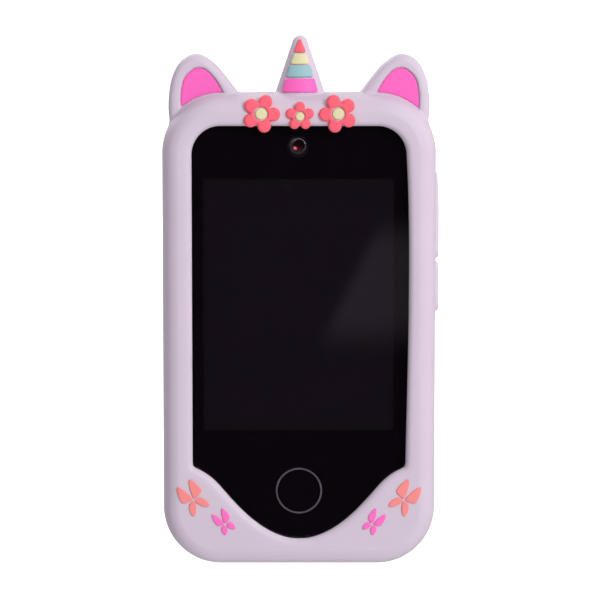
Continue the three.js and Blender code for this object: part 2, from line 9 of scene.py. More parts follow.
import bmesh
import bpy
import numpy as np
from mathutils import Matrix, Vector


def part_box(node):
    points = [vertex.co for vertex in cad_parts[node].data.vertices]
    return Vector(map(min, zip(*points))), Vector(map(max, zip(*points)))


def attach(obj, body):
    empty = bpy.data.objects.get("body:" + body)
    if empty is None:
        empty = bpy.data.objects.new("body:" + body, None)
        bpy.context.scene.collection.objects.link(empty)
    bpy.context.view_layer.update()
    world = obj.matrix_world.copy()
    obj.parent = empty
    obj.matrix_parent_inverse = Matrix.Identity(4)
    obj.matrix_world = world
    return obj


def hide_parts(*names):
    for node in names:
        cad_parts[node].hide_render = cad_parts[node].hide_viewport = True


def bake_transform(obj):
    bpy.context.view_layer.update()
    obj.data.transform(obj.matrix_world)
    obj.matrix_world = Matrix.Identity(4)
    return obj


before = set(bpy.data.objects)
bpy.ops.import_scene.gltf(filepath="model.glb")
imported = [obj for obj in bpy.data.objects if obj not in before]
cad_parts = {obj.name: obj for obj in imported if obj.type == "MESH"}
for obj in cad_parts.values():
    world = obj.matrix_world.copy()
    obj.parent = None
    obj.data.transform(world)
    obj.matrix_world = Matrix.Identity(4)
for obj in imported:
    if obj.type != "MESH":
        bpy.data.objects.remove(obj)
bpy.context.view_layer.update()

MM = 0.001
PHONE = "phone"


def box_mm(node):
    """Lowest and highest corner of a CAD node, in millimetres."""
    low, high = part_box(node)
    return np.array(low) / MM, np.array(high) / MM


def middle_mm(node):
    low, high = box_mm(node)
    return (low + high) / 2


# ---- Driving dimensions, in millimetres ----

# The sleeve's outside, and how its sides draw in towards the front.
case_low, case_high = box_mm("case_shell")
SLEEVE_HALF = case_high[0]
SLEEVE_FRONT, SLEEVE_BACK = case_low[1], case_high[1]
SLEEVE_TOP = 108.25
SLEEVE_CORNER, SLEEVE_FOOT = 13.4, 13.2
FRONT_ROUND, BACK_ROUND = 1.6, 3.2
SIDE_INSET, SIDE_START, SIDE_END = 1.15, -2.6, -6.4

# The hollow that holds the phone.
CAVITY_HALF, CAVITY_LOW, CAVITY_HIGH, CAVITY_CORNER = 28.2, 3.2, 105.2, 10.4
CAVITY_DEPTH, CAVITY_FRONT_ROUND, CAVITY_BACK_ROUND, CAVITY_RIM = 6.2, 0.3, 1.2, 0.25

# The opening over the screen, and the soft lip round it.
OPENING_HALF, OPENING_TOP, OPENING_CORNER, OPENING_CUT = 24.4, 101.3, 6.6, -5.0
OPENING_ROUND = 1.3
LIP_WIDTH, LIP_FALL = 2.3, 0.2

# Ears, with their pockets and inlays.
EAR_FRONT, EAR_BACK, EAR_ROUND = -3.4, 2.6, 1.6
EAR_FILLET = 0.7
INLAY_FRONT, INLAY_BACK, INLAY_FOOT = -3.0, -1.6, 0.3
INLAY_SHIFT, INLAY_GROW, INLAY_GAP, INLAY_ROUND = 0.2, 0.12, 0.1, 0.3
POCKET_BED, POCKET_ROUND = 0.35, 0.5

# The horn and its bands.
HORN_RADIUS, HORN_SLOPE, HORN_FLATNESS, HORN_X, HORN_Y = 1.7, 0.338, 0.75, 0.22, -0.4
HORN_TIP, HORN_BOTTOM = case_high[2], 100.0
HORN_FILLET = 0.7
BAND_LIFT, BAND_ROUND, BAND_BACK = 0.7, 0.3, -0.9

# Flowers and butterflies. Trim reaches TRIM_SUNK into the sleeve.
TRIM_SUNK = 0.4
PETALS, PETAL_RADIUS, PETAL_REACH, PETAL_ROUND, PETAL_JOIN = 5, 1.58, 2.85, 0.65, 0.12
HUB_RADIUS, HUB_ROUND, HOLE_RADIUS, HOLE_RIM = 2.55, 0.4, 1.65, 0.25
FLOWER_LIFT, FLOWER_DEPTH, FLOWER_DROP = 0.85, 2.4, 0.12
DOT_RADIUS, DOT_LIFT, DOT_SUNK, DOT_ROUND = 1.35, 0.9, 0.5, 0.4
COLLAR_FRONT, COLLAR_BACK, COLLAR_LAP = SLEEVE_FRONT - 0.36, SLEEVE_FRONT + 0.2, 0.15
WING_LIFT, WING_ROUND = 0.36, 0.2
BUTTERFLY_TILT = math.radians(33)

# Openings for the sockets, microphone, camera, sound and memory card, and where their cuts end.
usb = middle_mm("usb_socket")
jack = middle_mm("audio_jack")
card = middle_mm("memory_card")
camera_window = middle_mm("rear_camera_window")
speaker = middle_mm("speaker")
microphone = middle_mm("microphone")
USB_PORT, JACK_PORT, JACK_Y, MICROPHONE_PORT = (6.0, 3.25), 4.0, 2.0, 0.7
CAMERA_PORT, CAMERA_PORT_Z = (5.5, 10.0), 89.0
SOUND_SLOT, SLOT_PITCH, SLOT_COUNT = (6.0, 0.9), 3.2, 3
CARD_PORT, CARD_PORT_Y = (2.5, 7.7), 0.45
PORT_RIM, MICROPHONE_RIM, CAMERA_RIM, SLOT_RIM = 0.7, 0.3, 0.9, 0.35
BASE_CUT, REAR_CUT, LEFT_CUT = 5.0, 4.0, -27.0

# The side keys' raised pads, and the skins round them that lap the sleeve.
PADS = {name: box_mm(f"{name}_pad") for name in ("volume", "power")}
PAD_CORNER, PAD_ROUND, PAD_FILLET, PAD_CLEAR = 2.2, 0.6, 0.4, 0.3
# How each face falls towards its upper end: over what length, by how much, and along what power of it.
PAD_FALL, PAD_FALL_CURVE = {"volume": (9.0, 0.36), "power": (1.8, 0.2)}, 1.6
# How far each pad reaches past its CAD solid, below and above.
PAD_GROW = {"volume": (0.6, 0.0), "power": (0.55, 0.65)}
WINDOW_CORNER, WINDOW_CUT, WINDOW_RIM = 1.4, 27.0, 0.2
SKIN_INNER, SKIN_PROUD, SKIN_LAP = 30.6, 0.02, (1.2, 0.35)


# ---- Outlines in the x-z plane ----


def bezier(a, b, c, d, steps=24):
    t = np.linspace(0, 1, steps, endpoint=False)[:, None]
    a, b, c, d = (np.array(p, float) for p in (a, b, c, d))
    return (1 - t) ** 3 * a + 3 * (1 - t) ** 2 * t * b + 3 * (1 - t) * t**2 * c + t**3 * d


def arc(x, z, radius, start, end, steps=24):
    angle = np.radians(np.linspace(start, end, steps, endpoint=False))[:, None]
    return np.hstack([x + radius * np.cos(angle), z + radius * np.sin(angle)])


def spline(points, closed=False, steps=8):
    """A smooth curve through the points."""
    p = np.array(points, float)
    before = np.vstack([p[-1:] if closed else 2 * p[:1] - p[1:2], p])
    after = np.vstack([p[:2] if closed else 2 * p[-1:] - p[-2:-1]])
    p = np.vstack([before, after])
    out = []
    for i in range(1, len(p) - 2):
        tangent_a, tangent_b = (p[i + 1] - p[i - 1]) / 6, (p[i + 2] - p[i]) / 6
        out.append(bezier(p[i], p[i] + tangent_a, p[i + 1] - tangent_b, p[i + 1], steps))
    if not closed:
        out.append(p[-2:-1])
    return np.vstack(out)


def opening_outline():
    """A smile below two sides, of which the soft right one bows out, and a round top."""
    half, top, corner = OPENING_HALF, OPENING_TOP, OPENING_CORNER
    smile = np.vstack([
        bezier((0, 6.3), (8.35, 6.3), (15.03, 15.1), (18.2, 18.68), 40),
        bezier((18.2, 18.68), (19.73, 20.42), (21.35, 21.7), (half - 0.7, 22.75), 16),
        bezier((half - 0.7, 22.75), (half - 0.2, 23.0), (half, 23.4), (half, 24.4), 6),
    ])
    side = bezier((half, 24.4), (half + 0.25, 40), (half + 1.35, 74), (half, top - corner))
    curve = arc(half - corner, top - corner, corner, 0, 90)
    left = np.vstack([smile, curve])[::-1] * (-1, 1)
    return np.vstack([smile, side, curve, left[:-1]])


EAR_OUTLINE = np.vstack([
    spline([
        (29.3, 100.4), (29.75, 105.5), (29.15, 111), (27.65, 114.7), (25.6, 116.6),
        (23.6, 117.2), (21.7, 116.75), (18.95, 114.75), (16.25, 111.55), (13.1, 107.4),
    ]),
    [(12.0, 102.9), (20.0, 96.9), (27.0, 96.9)],
])
INLAY_OUTLINE = np.vstack([
    spline([
        (27, 104.9), (27, 108.3), (26.25, 111.75), (24.4, 113.75), (22.9, 114.2),
        (21.3, 113.7), (19.3, 111.6), (17.6, 108.75),
    ]),
    [(16.6, 107.3), (19.0, 102.9), (26.0, 101.9)],
])
# A butterfly's two wings on one side. A point given twice is a corner.
BIG_WINGS = {
    "upper": [
        (1.66, 4.55), (1.66, 4.55), (2.2, 3.85), (2.6, 2.35), (2.64, 0.9), (1.9, 0.36), (0.42, 0.16),
        (0.16, 0.7), (0.6, 2.65), (1.15, 4.0),
    ],
    "lower": [
        (0.3, -0.2), (1.3, -0.28), (2.02, -1.1), (2.36, -2.3), (2.28, -3.1), (2.28, -3.1),
        (1.5, -2.96), (0.6, -1.9), (0.12, -0.8),
    ],
}
SMALL_WINGS = {
    "upper": [
        (1.38, 3.6), (1.38, 3.6), (1.72, 2.9), (1.86, 1.75), (1.7, 0.8), (1.15, 0.36), (0.3, 0.22),
        (0.12, 0.75), (0.42, 2.2), (0.9, 3.15),
    ],
    "lower": [
        (0.3, -0.12), (1.08, -0.1), (1.54, -0.7), (1.62, -1.5), (1.4, -2.12), (1.4, -2.12),
        (0.68, -1.82), (0.16, -0.95),
    ],
}


class Outline:
    """Signed distance to a closed outline, kept on a fine grid."""

    def __init__(self, points, margin=6.0, pitch=0.16):
        points = np.array(points, float)
        self.low = points.min(0) - margin
        self.pitch = pitch
        size = np.ceil((points.max(0) + margin - self.low) / pitch).astype(int) + 2
        x, z = (self.low[i] + pitch * np.arange(size[i]) for i in range(2))
        self.grid = polygon_distance(points, x[:, None], z[None, :])

    def __call__(self, x, z):
        i = np.clip((x - self.low[0]) / self.pitch, 0, self.grid.shape[0] - 1.001)
        j = np.clip((z - self.low[1]) / self.pitch, 0, self.grid.shape[1] - 1.001)
        i, j = np.broadcast_arrays(i, j)
        a, b = i.astype(int), j.astype(int)
        u, v = i - a, j - b
        g = self.grid
        low = g[a, b] * (1 - v) + g[a, b + 1] * v
        high = g[a + 1, b] * (1 - v) + g[a + 1, b + 1] * v
        return low * (1 - u) + high * u


def polygon_distance(points, x, z):
    """Signed distance from each (x, z) to a polygon, negative inside."""
    nearest = np.full(np.broadcast_shapes(x.shape, z.shape), np.inf)
    inside = np.zeros(nearest.shape, bool)
    for (ax, az), (bx, bz) in zip(points, np.roll(points, -1, axis=0)):
        dx, dz = bx - ax, bz - az
        length = dx * dx + dz * dz
        if length < 1e-12:
            continue
        t = np.clip(((x - ax) * dx + (z - az) * dz) / length, 0, 1)
        nearest = np.minimum(nearest, (x - ax - t * dx) ** 2 + (z - az - t * dz) ** 2)
        if dz != 0:
            spans = (az > z) != (bz > z)
            inside ^= spans & (x < ax + (z - az) * dx / dz)
    return np.where(inside, -1, 1) * np.sqrt(nearest)


# ---- Joining and cutting signed distances ----


def meet(a, b, r=0.0):
    """What two shapes share, with the edge between them rounded to radius r."""
    if r == 0:
        return np.maximum(a, b)
    return np.minimum(np.maximum(a, b), -r) + np.hypot(np.maximum(a + r, 0), np.maximum(b + r, 0))


def join(a, b, r=0.0):
    """Two shapes together, with a fillet of radius r between them."""
    return -meet(-a, -b, r)


def cut(a, b, r=0.0):
    """The first shape without the second, with the rim rounded."""
    return meet(a, -b, r)


def disc(u, v, radius):
    return np.hypot(u, v) - radius


def panel(u, v, half_u, half_v, corner):
    """A rectangle with round corners, about the origin."""
    a, b = np.abs(u) - half_u + corner, np.abs(v) - half_v + corner
    return np.hypot(np.maximum(a, 0), np.maximum(b, 0)) + np.minimum(np.maximum(a, b), 0) - corner


def slab(edge, w, low, high, round_low=0.0, round_high=0.0):
    """A flat shape given depth from low to high along w."""
    return np.maximum(meet(edge, low - w, round_low), meet(edge, w - high, round_high))


# ---- Meshing ----

CORNERS = np.array([(i, j, k) for i in (0, 1) for j in (0, 1) for k in (0, 1)])
EDGES = [(a, b) for a in range(8) for b in range(a + 1, 8) if np.abs(CORNERS[a] - CORNERS[b]).sum() == 1]


def surface_net(field, low, high, pitch):
    """Vertices and quads of a field's zero surface, on a grid of that pitch."""
    low, high = np.array(low, float), np.array(high, float)
    size = np.ceil((high - low) / pitch).astype(int) + 1
    x, y, z = (low[i] + pitch * np.arange(size[i]) for i in range(3))
    f = np.broadcast_to(field(x[:, None, None], y[None, :, None], z[None, None, :]), size)
    inside = f < 0
    count = np.zeros(size - 1, np.int8)
    for i, j, k in CORNERS:
        count += inside[i : size[0] - 1 + i, j : size[1] - 1 + j, k : size[2] - 1 + k]
    active = (count > 0) & (count < 8)
    cells = np.argwhere(active)
    values = np.stack([f[tuple((cells + c).T)] for c in CORNERS], 1)
    total, hits = np.zeros((len(cells), 3)), np.zeros(len(cells))
    for a, b in EDGES:
        va, vb = values[:, a], values[:, b]
        crosses = (va < 0) != (vb < 0)
        t = np.where(crosses, va / np.where(crosses, va - vb, 1), 0)
        total += crosses[:, None] * (CORNERS[a] + t[:, None] * (CORNERS[b] - CORNERS[a]))
        hits += crosses
    vertices = low + pitch * (cells + total / hits[:, None])
    index = np.full(active.shape, -1)
    index[active] = np.arange(len(cells))
    quads = []
    for axis in range(3):
        u, v = (axis + 1) % 3, (axis + 2) % 3
        near, far = [slice(1, -1)] * 3, [slice(1, -1)] * 3
        near[axis], far[axis] = slice(0, -1), slice(1, None)
        here, there = inside[tuple(near)], inside[tuple(far)]
        at = np.argwhere(here != there)
        leaves = here[tuple(at.T)]
        at[:, u] += 1
        at[:, v] += 1
        step_u, step_v = np.eye(3, dtype=int)[u], np.eye(3, dtype=int)[v]
        ring = [at - step_u - step_v, at - step_v, at, at - step_u]
        quad = np.stack([index[tuple(c.T)] for c in ring], 1)
        quads.append(np.where(leaves[:, None], quad, quad[:, ::-1]))
    return vertices, np.vstack(quads)


def gradient(field, points, reach):
    columns = []
    for axis in range(3):
        step = np.zeros(3)
        step[axis] = reach
        ahead, behind = points + step, points - step
        columns.append((field(*ahead.T) - field(*behind.T)) / (2 * reach))
    return np.stack(columns, 1)


def settle(field, points, pitch):
    """Moves points onto the zero surface."""
    for _ in range(2):
        slope = gradient(field, points, pitch * 0.25)
        move = field(*points.T)[:, None] * slope / np.maximum((slope**2).sum(1), 0.05)[:, None]
        points = points - np.clip(move, -pitch * 0.5, pitch * 0.5)
    return points


def link(data, name):
    obj = bpy.data.objects.new(name, data)
    bpy.context.scene.collection.objects.link(obj)
    return obj


def solid(name, field, low, high, pitch, keep=1.0, reach=0.12):
    """A smooth mesh of a field, thinned to a share of its faces, with the field's own normals."""
    points, quads = surface_net(field, low, high, pitch)
    points = settle(field, points, pitch)
    mesh = bpy.data.meshes.new(name)
    mesh.from_pydata((points * MM).tolist(), [], quads.tolist())
    obj = link(mesh, name)
    if keep < 1:
        thin = obj.modifiers.new("thin", "DECIMATE")
        thin.ratio = keep
        mesh = bpy.data.meshes.new_from_object(obj.evaluated_get(bpy.context.evaluated_depsgraph_get()))
        obj.modifiers.clear()
        obj.data = mesh
    mesh.name = name
    at = np.zeros(len(mesh.vertices) * 3)
    mesh.vertices.foreach_get("co", at)
    normals = gradient(field, at.reshape(-1, 3) / MM, reach)
    normals /= np.maximum(np.linalg.norm(normals, axis=1), 1e-9)[:, None]
    mesh.polygons.foreach_set("use_smooth", [True] * len(mesh.polygons))
    mesh.normals_split_custom_set_from_vertices(normals.tolist())
    return obj


# ---- The soft sleeve ----

opening = Outline(opening_outline(), margin=9)
ear = Outline(EAR_OUTLINE)
inlay = Outline(INLAY_OUTLINE)


def smooth_step(t):
    t = np.clip(t, 0, 1)
    return t * t * (3 - 2 * t)


def body_edge(x, z):
    corner = np.where(z < SLEEVE_TOP / 2, SLEEVE_FOOT, SLEEVE_CORNER)
    return panel(x, z - SLEEVE_TOP / 2, SLEEVE_HALF, SLEEVE_TOP / 2, corner)


def cavity_edge(x, z):
    middle, half_height = (CAVITY_LOW + CAVITY_HIGH) / 2, (CAVITY_HIGH - CAVITY_LOW) / 2
    return panel(x, z - middle, CAVITY_HALF, half_height, CAVITY_CORNER)


def lip_fall(x, z):
    """How far the front face has fallen behind its flat level, close to the opening."""
    return LIP_FALL * (1 - smooth_step(opening(x, z) / LIP_WIDTH))


def side_inset(y):
    """How far the sides draw in towards the front."""
    return SIDE_INSET * (np.minimum(y - SIDE_START, 0) / (SIDE_END - SIDE_START)) ** 2


def sleeve_block(x, y, z):
    """The sleeve's outside without ears, horn or openings."""
    edge = body_edge(x, z) + side_inset(y)
    front = SLEEVE_FRONT + lip_fall(x, z) - y
    return np.maximum(meet(edge, front, FRONT_ROUND), meet(edge, y - SLEEVE_BACK, BACK_ROUND))


def inlay_edge(x, z):
    """The ears' inlays, which stop just above the body's edge."""
    return np.maximum(inlay(np.abs(x - INLAY_SHIFT), z) - INLAY_GROW, INLAY_FOOT - body_edge(x, z))


def ears(x, y, z):
    whole = slab(ear(np.abs(x), z), y, EAR_FRONT, EAR_BACK, EAR_ROUND, EAR_ROUND)
    pocket = np.maximum(inlay_edge(x, z), y - INLAY_FRONT - POCKET_BED)
    return cut(whole, pocket, POCKET_ROUND)


def horn(x, y, z):
    """A rounded cone, a little flattened from front to back."""
    lean = math.atan(HORN_SLOPE)
    centre = HORN_TIP - HORN_RADIUS
    across = np.hypot(x - HORN_X, (y - HORN_Y) / HORN_FLATNESS)
    up = z - centre
    flank = across * math.cos(lean) + up * math.sin(lean) - HORN_RADIUS
    ball = np.hypot(across, up) - HORN_RADIUS
    above = up * math.cos(lean) - across * math.sin(lean) > 0
    return np.maximum(np.where(above, ball, flank), HORN_BOTTOM - z)


def stadium(u, v, half_u, half_v):
    return panel(u, v, half_u, half_v, min(half_u, half_v))


def ports(x, y, z):
    """Openings in the sleeve's base, left side and back, each with its own rim radius."""
    base, rear, left = z - BASE_CUT, REAR_CUT - y, x - LEFT_CUT
    sound = np.inf
    for i in range(SLOT_COUNT):
        level = speaker[2] + (i - (SLOT_COUNT - 1) / 2) * SLOT_PITCH
        sound = np.minimum(sound, stadium(x - speaker[0], z - level, *SOUND_SLOT))
    return [
        (np.maximum(stadium(x, y - usb[1], *USB_PORT), base), PORT_RIM),
        (np.maximum(disc(x - jack[0], y - JACK_Y, JACK_PORT), base), PORT_RIM),
        (np.maximum(disc(x - microphone[0], y, MICROPHONE_PORT), base), MICROPHONE_RIM),
        (np.maximum(stadium(x - camera_window[0], z - CAMERA_PORT_Z, *CAMERA_PORT), rear), CAMERA_RIM),
        (np.maximum(sound, rear), SLOT_RIM),
        (np.maximum(stadium(y - CARD_PORT_Y, z - card[2], *CARD_PORT), left), PORT_RIM),
    ]


def pad_windows(x, y, z):
    windows = np.inf
    for low, high in PADS.values():
        centre, half = (low + high) / 2, (high - low) / 2 + PAD_CLEAR
        windows = np.minimum(windows, panel(y - centre[1], z - centre[2], half[1], half[2], WINDOW_CORNER))
    return np.maximum(windows, WINDOW_CUT - x)


def cavity(x, y, z):
    return slab(cavity_edge(x, z), y, -CAVITY_DEPTH, CAVITY_DEPTH, CAVITY_FRONT_ROUND, CAVITY_BACK_ROUND)


def sleeve(x, y, z):
    whole = join(sleeve_block(x, y, z), ears(x, y, z), EAR_FILLET)
    whole = join(whole, horn(x, y, z), HORN_FILLET)
    whole = cut(whole, np.maximum(opening(x, z), y - OPENING_CUT), OPENING_ROUND)
    for shape, rim in ports(x, y, z):
        whole = cut(whole, shape, rim)
    whole = cut(whole, cavity(x, y, z), CAVITY_RIM)
    return cut(whole, pad_windows(x, y, z), WINDOW_RIM)


def pad_skin(name):
    """The sleeve's wall over a side key, with its raised pad, which is lower towards its upper end."""
    low, high = PADS[name]
    low, high = low - (0, 0, PAD_GROW[name][0]), high + (0, 0, PAD_GROW[name][1])
    centre, half = (low + high) / 2, (high - low) / 2
    length, depth = PAD_FALL[name]
    lap_y, lap_z = half[1] + SKIN_LAP[0], half[2] + SKIN_LAP[1]

    def field(x, y, z):
        pad_edge = panel(y - centre[1], z - centre[2], half[1], half[2], PAD_CORNER)
        fall = depth * np.clip((z - high[2] + length) / length, 0, 1) ** PAD_FALL_CURVE
        pad = meet(pad_edge, x - high[0] + fall, PAD_ROUND)
        wall = x - SLEEVE_HALF + side_inset(y) - SKIN_PROUD
        skin = join(pad, wall, PAD_FILLET)
        margin = panel(y - centre[1], z - centre[2], lap_y, lap_z, PAD_CORNER)
        return np.maximum(np.maximum(skin, margin), SKIN_INNER - x)

    return field


# ---- Trim moulded onto the sleeve ----


def band(outline):
    edge = Outline(outline, margin=2, pitch=0.06)

    def field(x, y, z):
        cone = horn(x, y, z)
        raised = meet(edge(x, z) - BAND_ROUND, cone - BAND_LIFT, BAND_ROUND)
        return np.maximum(np.maximum(raised, -TRIM_SUNK - cone), y - BAND_BACK)

    return field


def flower(x0, z0, size, turn):
    def field(x, y, z):
        u, v = x - x0, z - z0
        front = SLEEVE_FRONT - FLOWER_LIFT - y
        petals = meet(disc(u, v, HUB_RADIUS * size), front, HUB_ROUND)
        for i in range(PETALS):
            angle = math.radians(turn + i * 360 / PETALS)
            du, dv = PETAL_REACH * size * math.cos(angle), PETAL_REACH * size * math.sin(angle)
            petal = meet(disc(u - du, v - dv, PETAL_RADIUS * size), front, PETAL_ROUND)
            petals = join(petals, petal, PETAL_JOIN)
        petals = cut(petals, disc(u, v, HOLE_RADIUS * size), HOLE_RIM)
        sunk = -TRIM_SUNK - sleeve_block(x, y, z)
        return np.maximum(np.maximum(petals, sunk), y - SLEEVE_FRONT - FLOWER_DEPTH)

    return field


def dot(x0, z0, radius):
    def field(x, y, z):
        dome = meet(disc(x - x0, z - z0, radius), SLEEVE_FRONT - DOT_LIFT - y, DOT_ROUND)
        return np.maximum(dome, y - SLEEVE_FRONT - DOT_SUNK)

    return field


def wing(outline):
    edge = Outline(outline, margin=1.5, pitch=0.06)

    def field(x, y, z):
        surface = sleeve_block(x, y, z)
        raised = meet(edge(x, z), surface - WING_LIFT, WING_ROUND)
        return np.maximum(raised, -TRIM_SUNK - surface)

    return field


def place_wing(outline, x0, z0, side, across):
    tilt = -side * BUTTERFLY_TILT
    points = np.array(outline) * np.array([across, 1.0])
    leaning = points @ np.array([[math.cos(tilt), math.sin(tilt)], [-math.sin(tilt), math.cos(tilt)]])
    return spline(leaning + np.array([side * x0, z0]), closed=True)


# ---- Materials ----


def srgb(r, g, b):
    """A display colour, 0 to 255, as the linear value that shaders use."""
    c = np.array([r, g, b]) / 255
    linear = np.where(c <= 0.04045, c / 12.92, ((c + 0.055) / 1.055) ** 2.4)
    return (*[float(v) for v in linear], 1.0)


def tree(owner):
    return owner.node_tree.nodes, owner.node_tree.links


def principled(name, base, roughness, metallic=0.0, specular=0.5):
    material = bpy.data.materials.new(name)
    material.use_nodes = True
    shader = material.node_tree.nodes["Principled BSDF"]
    shader.inputs["Base Color"].default_value = base
    shader.inputs["Roughness"].default_value = roughness
    shader.inputs["Metallic"].default_value = metallic
    shader.inputs["Specular IOR Level"].default_value = specular
    return material, shader


def noise(material, scale, detail=2.0):
    nodes, links = tree(material)
    place = nodes.new("ShaderNodeTexCoord")
    texture = nodes.new("ShaderNodeTexNoise")
    texture.inputs["Scale"].default_value = scale
    texture.inputs["Detail"].default_value = detail
    links.new(place.outputs["Object"], texture.inputs["Vector"])
    return texture.outputs["Fac"]


def add_bump(material, shader, height, strength, distance):
    nodes, links = tree(material)
    bump = nodes.new("ShaderNodeBump")
    bump.inputs["Strength"].default_value = strength
    bump.inputs["Distance"].default_value = distance
    links.new(height, bump.inputs["Height"])
    links.new(bump.outputs["Normal"], shader.inputs["Normal"])


def mix_color(nodes, links, factor, a, b):
    mix = nodes.new("ShaderNodeMix")
    mix.data_type = "RGBA"
    links.new(factor, mix.inputs["Factor"])
    for socket, color in (("A", a), ("B", b)):
        if isinstance(color, tuple):
            mix.inputs[socket].default_value = color
        else:
            links.new(color, mix.inputs[socket])
    return mix.outputs["Result"]


def ranged(nodes, links, value, start, end, low=0.0, high=1.0, kind="LINEAR"):
    """low where the value is start, high where it is end."""
    span = nodes.new("ShaderNodeMapRange")
    span.interpolation_type = kind
    links.new(value, span.inputs["Value"])
    for socket, level in (("From Min", start), ("From Max", end), ("To Min", low), ("To Max", high)):
        span.inputs[socket].default_value = level
    return span.outputs["Result"]


def axes(nodes, links, vector):
    split = nodes.new("ShaderNodeSeparateXYZ")
    links.new(vector, split.inputs["Vector"])
    return split.outputs


def vary(material, shader, socket, driver, low, high):
    """Lets a noise move a shader input between two values or two colours."""
    nodes, links = tree(material)
    if socket == "Base Color":
        level = mix_color(nodes, links, driver, low, high)
    else:
        level = ranged(nodes, links, driver, 0.0, 1.0, low, high)
    links.new(level, shader.inputs[socket])


def tint(color, share):
    return (*[min(1.0, c * share) for c in color[:3]], 1.0)


# Scale and detail of the silicone's noises: its tone, its wear and its grain.
SILICONE_NOISES = [(90, 3), (260, 2), (5200, 3)]


def silicone(name, color, roughness=0.55):
    """Soft-touch silicone: a fine moulded grain, and hardly any change of tone."""
    material, shader = principled(name, color, roughness, specular=0.35)
    shader.inputs["Sheen Weight"].default_value = 0.12
    shader.inputs["Sheen Roughness"].default_value = 0.4
    tone, wear, grain = (noise(material, *setting) for setting in SILICONE_NOISES)
    vary(material, shader, "Base Color", tone, tint(color, 0.965), tint(color, 1.035))
    vary(material, shader, "Roughness", wear, roughness - 0.05, roughness + 0.07)
    add_bump(material, shader, grain, 0.16, 0.00012)
    return material


def plastic(name, color, roughness, grain=0.1):
    material, shader = principled(name, color, roughness)
    vary(material, shader, "Base Color", noise(material, 150, 3), tint(color, 0.95), tint(color, 1.05))
    add_bump(material, shader, noise(material, 4200), grain, 0.0001)
    return material


def metal(name, color, roughness):
    material, shader = principled(name, color, roughness, metallic=1.0)
    vary(material, shader, "Roughness", noise(material, 900), roughness * 0.7, roughness * 1.4)
    return material


def glass(name, color, roughness=0.02, ior=1.49):
    """Clear glass or plastic, which lamps shine through."""
    material, shader = principled(name, color, roughness)
    shader.inputs["Transmission Weight"].default_value = 1.0
    shader.inputs["IOR"].default_value = ior
    nodes, links = tree(material)
    path = nodes.new("ShaderNodeLightPath")
    clear = nodes.new("ShaderNodeBsdfTransparent")
    clear.inputs["Color"].default_value = color
    mix = nodes.new("ShaderNodeMixShader")
    links.new(path.outputs["Is Shadow Ray"], mix.inputs["Fac"])
    links.new(shader.outputs["BSDF"], mix.inputs[1])
    links.new(clear.outputs["BSDF"], mix.inputs[2])
    links.new(mix.outputs["Shader"], nodes["Material Output"].inputs["Surface"])
    return material


def behind_glass(name, color):
    """A print or panel bonded to the back of the lens, which has no gloss of its own."""
    material, shader = principled(name, color, 0.8, specular=0.0)
    vary(material, shader, "Base Color", noise(material, 60), tint(color, 0.93), tint(color, 1.07))
    return material


LAVENDER = srgb(209, 194, 211)
PINK = srgb(255, 102, 193)
CORAL = srgb(255, 98, 118)
YELLOW = srgb(224, 217, 170)
TEAL = srgb(151, 190, 198)
SALMON = srgb(248, 140, 140)
ROSE = srgb(255, 112, 196)

MATERIALS = {
    "lavender": silicone("lavender_silicone", LAVENDER),
    "pink": silicone("pink_silicone", PINK),
    "coral": silicone("coral_silicone", CORAL),
    "yellow": silicone("yellow_silicone", YELLOW),
    "teal": silicone("teal_silicone", TEAL),
    "salmon": silicone("salmon_silicone", SALMON),
    "rose": silicone("rose_silicone", ROSE),
    "lens": glass("clear_acrylic", (1.0, 1.0, 1.0, 1.0)),
    "camera_glass": glass("camera_glass", (0.62, 0.6, 0.7, 1.0), ior=1.52),
    "ink": behind_glass("black_ink", srgb(4, 2, 4)),
    "screen": behind_glass("display_panel", srgb(16, 10, 17)),
    "print": behind_glass("grey_print", srgb(86, 76, 92)),
    "barrel": plastic("camera_barrel", srgb(38, 32, 42), 0.45, grain=0.02),
    "shiny_black": plastic("shiny_black", srgb(10, 8, 12), 0.14, grain=0.0),
    "red_coat": metal("red_lens_coating", srgb(84, 28, 34), 0.11),
    "blue_coat": metal("blue_lens_coating", srgb(40, 52, 96), 0.13),
    "clear": glass("clear_cap", (0.95, 0.95, 0.93, 1.0)),
    "housing": plastic("housing_plastic", srgb(188, 172, 208), 0.42),
    "black": plastic("black_plastic", srgb(24, 24, 27), 0.45),
    "board": plastic("circuit_board", srgb(28, 92, 52), 0.4),
    "foil": metal("battery_foil", srgb(150, 152, 158), 0.35),
    "steel": metal("plated_steel", srgb(200, 202, 206), 0.22),
    "gold": metal("gold_contact", srgb(226, 186, 104), 0.25),
    "amber": plastic("amber_film", srgb(196, 138, 44), 0.3),
    "lamp": plastic("led_phosphor", srgb(240, 226, 140), 0.35),
}


def dress(obj, material, *nodes, body=PHONE, slot=None):
    obj.data.materials.clear()
    obj.data.materials.append(MATERIALS[material])
    if body:
        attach(obj, body)
    if nodes:
        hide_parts(*nodes)


# ---- Pieces ----

# The grid that each kind of piece is meshed on, in millimetres, and room left round the sleeve.
PITCH = {
    "sleeve": 0.4, "skin": 0.2, "inlay": 0.25, "band": 0.11, "petals": 0.14, "dot": 0.12, "wing": 0.12,
    "usb_shell": 0.12, "usb_tongue": 0.11, "jack": 0.2, "card": 0.11,
}
MARGIN = 1.5


def make_sleeve():
    low, high = case_low - MARGIN, case_high + MARGIN
    obj = solid("sleeve", sleeve, low, high, PITCH["sleeve"], keep=0.35, reach=0.16)
    dress(obj, "lavender", "case_shell", slot="silicone_lavender")


